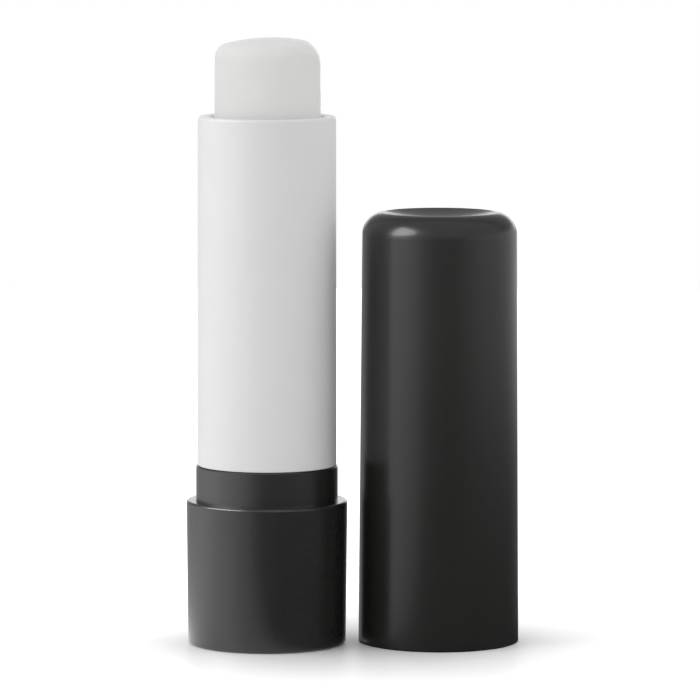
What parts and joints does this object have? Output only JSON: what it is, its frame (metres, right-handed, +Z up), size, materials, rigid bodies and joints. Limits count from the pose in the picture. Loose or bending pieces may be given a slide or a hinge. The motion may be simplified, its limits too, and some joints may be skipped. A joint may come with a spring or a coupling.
{
  "type": "lip balm stick",
  "caption": "Twist-up lip balm stick: black base and collar, white sleeve, crowned balm raised out of it, and its black cap standing beside it.",
  "frame": {"origin": "on the stick's axis, on the table that the stick and its cap stand on", "axes": "+Z up along the stick, +X towards the cap, +Y away from the picture's viewer"},
  "size_m": [0.0393, 0.0207, 0.0718],
  "materials": {
    "black_plastic": "moulded, soft gloss",
    "white_plastic": "moulded, satin",
    "inner_plastic": "moulded, matte",
    "balm": "smooth wax"
  },
  "bodies": {
    "base": {"base_shell": "black_plastic", "collar": "black_plastic", "slotted_sleeve": "inner_plastic"},
    "sleeve": {"white_sleeve": "white_plastic"},
    "carrier": {"cup": "inner_plastic", "balm": "balm"},
    "cap": {"cap": "black_plastic"}
  },
  "joints": [
    {"name": "sleeve_twist", "type": "hinge", "parent": "base", "child": "sleeve", "pos_m": [0, 0, 0.02128], "axis": [0, 0, -1], "range_deg": [-287.5, 725.5]},
    {"name": "balm_raise", "type": "slide", "parent": "base", "child": "carrier", "axis": [0, 0, 1], "range_m": [-0.0096, 0.0242]},
    {"name": "cap_lift", "type": "slide", "parent": "base", "child": "cap", "axis": [0, 0, 1], "range_m": [0, 0.075]}
  ],
  "couplings": [
    {"joint": "balm_raise", "follows": "sleeve_twist", "m_per_rad": 0.0019099}
  ]
}
